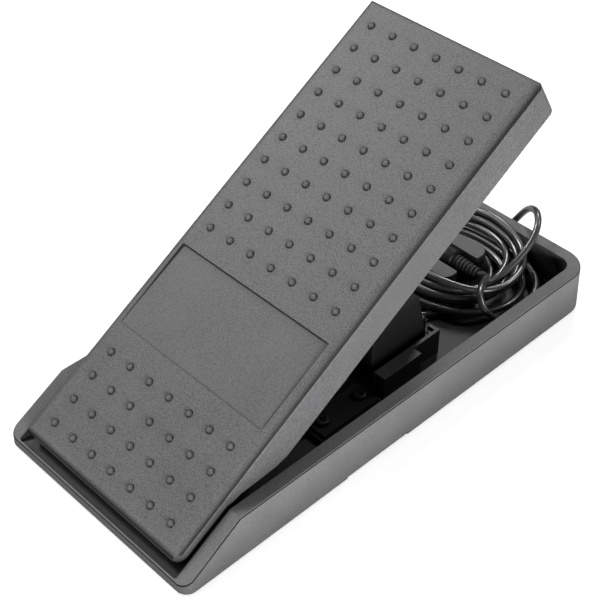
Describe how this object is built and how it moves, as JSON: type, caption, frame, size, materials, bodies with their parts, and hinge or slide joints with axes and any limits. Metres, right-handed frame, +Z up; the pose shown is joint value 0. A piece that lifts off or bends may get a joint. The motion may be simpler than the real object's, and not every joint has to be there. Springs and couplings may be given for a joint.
{
  "type": "rocking foot pedal controller",
  "caption": "Rocking treadle foot controller on a tray base, with a geared potentiometer under a cover and a coiled lead and phone plug stowed in the toe end.",
  "frame": {"origin": "centre of the footprint on the floor, under the rubber feet", "axes": "+X to the player's right, +Y from heel to toe, +Z up"},
  "size_m": [0.1334, 0.2996, 0.1576],
  "materials": {
    "case_plastic": "fine leather-grain moulded finish",
    "inner_plastic": "moulded, satin",
    "black_steel": "powder coat, fine texture",
    "zinc_steel": "zinc plated",
    "black_screw": "black oxide",
    "rubber": "matt",
    "nylon": "natural nylon",
    "gear_plastic": "acetal",
    "pot_metal": "drawn can",
    "phenolic": "phenolic laminate",
    "tinned": "tinned",
    "brass": "turned",
    "aluminium": "turned",
    "nickel": "nickel plated",
    "cable_jacket": "glossy flexible jacket",
    "wire_jacket": "insulated wire"
  },
  "bodies": {
    "base": {"base_tray": "case_plastic", "bottom_plate": "black_steel", "bottom_screws": "black_screw", "rubber_feet": "rubber", "pivot_stand": "zinc_steel", "stand_screws": "zinc_steel", "pivot_bolt": "zinc_steel", "friction_washers": "nylon", "spring_washer": "zinc_steel", "lock_nut": "zinc_steel", "pot_case": "pot_metal", "pot_track": "phenolic", "pot_terminals": "tinned", "pot_bushing": "brass", "pot_washer": "zinc_steel", "pot_nut": "zinc_steel", "pot_bracket": "zinc_steel", "bracket_screws": "zinc_steel", "housing_cover": "inner_plastic", "housing_screws": "black_screw", "toe_bumpers": "rubber", "heel_bumpers": "rubber", "cable": "cable_jacket", "cable_grommet": "rubber", "cable_clamp": "inner_plastic", "clamp_screw": "black_screw", "plug_handle": "inner_plastic", "plug_strain_relief": "rubber", "plug_sleeve": "nickel", "plug_ring": "nickel", "plug_insulators": "phenolic", "plug_tip": "nickel", "lead_wires": "wire_jacket"},
    "treadle": {"treadle_shell": "case_plastic", "treadle_carrier": "zinc_steel", "carrier_screws": "zinc_steel", "pivot_bushes": "nylon", "sector_gear": "gear_plastic"},
    "pot_rotor": {"pot_shaft": "aluminium", "pot_wiper": "nylon", "pot_pinion": "gear_plastic"}
  },
  "joints": [
    {"name": "treadle_pivot", "type": "hinge", "parent": "base", "child": "treadle", "pos_m": [0, -0.024, 0.0295], "axis": [-1, 0, 0], "range_deg": [0, 28]},
    {"name": "pot_spin", "type": "hinge", "parent": "base", "child": "pot_rotor", "pos_m": [0, 0.0208, 0.0295], "axis": [-1, 0, 0], "range_deg": [-205, 95]}
  ],
  "couplings": [
    {"joint": "pot_spin", "follows": "treadle_pivot", "ratio": -7}
  ]
}
